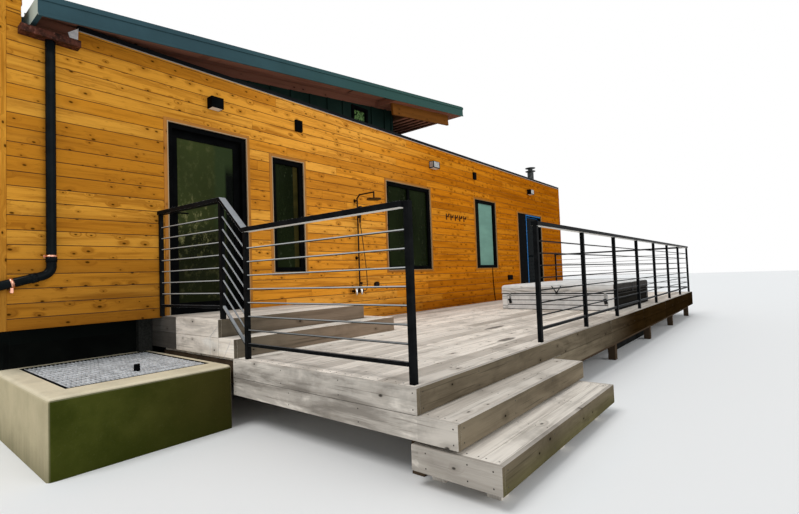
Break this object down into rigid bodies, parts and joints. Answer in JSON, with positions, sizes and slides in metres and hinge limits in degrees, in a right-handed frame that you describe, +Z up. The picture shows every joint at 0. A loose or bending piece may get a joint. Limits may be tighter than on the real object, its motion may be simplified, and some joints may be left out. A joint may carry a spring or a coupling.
{
  "type": "container cabin",
  "caption": "Long container cabin clad in horizontal boards, with a shed roof over one end, a raised deck with steps and rod railings, a sunk hot tub and a grated light well.",
  "frame": {"origin": "middle of the bounding box, on the ground under the foundation", "axes": "+X along the front wall from the end with the shed roof to the far end, +Y from the deck into the cabin, +Z up"},
  "size_m": [12.639, 9.036, 4.4251],
  "materials": {
    "foundation": "dark coated concrete",
    "concrete": "rough tan concrete",
    "floor_timber": "plain boards",
    "cladding": "oiled softwood boards",
    "roof_membrane": "matt grey",
    "black_metal": "satin black",
    "clerestory_panel": "dark green stain",
    "roof_metal": "satin grey green",
    "stained_timber": "brown stain",
    "copper": "weathered brown",
    "flue_steel": "dull",
    "hose": "ribbed",
    "glass": "clear",
    "blue_paint": "satin blue",
    "deck_timber": "weathered grey brown",
    "frame_timber": "rough sawn",
    "tub_panel": "grey panels",
    "tub_vinyl": "padded grey vinyl",
    "grate_steel": "galvanised, dull"
  },
  "bodies": {
    "cabin": {"foundation_wall": "foundation", "floor": "floor_timber", "front_wall_left": "cladding", "front_wall_middle": "cladding", "front_wall_right": "cladding", "door_heads": "cladding", "back_wall": "cladding", "left_end_wall": "cladding", "right_end_wall": "cladding", "flat_roof": "roof_membrane", "wall_cap": "black_metal", "clerestory_walls": "clerestory_panel", "shed_roof": "roof_metal", "open_rafters": "stained_timber", "rain_box": "copper", "downspout": "black_metal", "flue": "flue_steel", "wall_lamps": "black_metal", "shower_column": "black_metal", "shower_hose": "hose", "hook_rack": "black_metal", "door_frames": "black_metal", "window_frames": "black_metal", "window_glass": "glass", "deck_boards": "deck_timber", "deck_joists": "frame_timber", "deck_beams": "frame_timber", "deck_posts": "frame_timber", "deck_skirt": "deck_timber", "landing": "deck_timber", "landing_step": "deck_timber", "upper_front_step": "deck_timber", "lower_front_step": "deck_timber", "landing_railing": "black_metal", "stair_railing": "black_metal", "deck_end_railing": "black_metal", "front_railing": "black_metal", "far_end_railing": "black_metal", "tub_cabinet": "tub_panel", "tub_cover": "tub_vinyl", "light_well": "concrete", "well_grate": "grate_steel"},
    "door_1": {"door_1_leaf": "black_metal", "door_1_glass": "glass"},
    "door_2": {"door_2_leaf": "blue_paint", "door_2_glass": "glass"}
  },
  "joints": [
    {"name": "door_1_hinge", "type": "hinge", "parent": "cabin", "child": "door_1", "pos_m": [-4.0025, -0.627, 0.9], "axis": [0, 0, -1], "range_deg": [0, 90]},
    {"name": "door_2_hinge", "type": "hinge", "parent": "cabin", "child": "door_2", "pos_m": [4.8585, -0.627, 0.6], "axis": [0, 0, -1], "range_deg": [0, 90]}
  ]
}
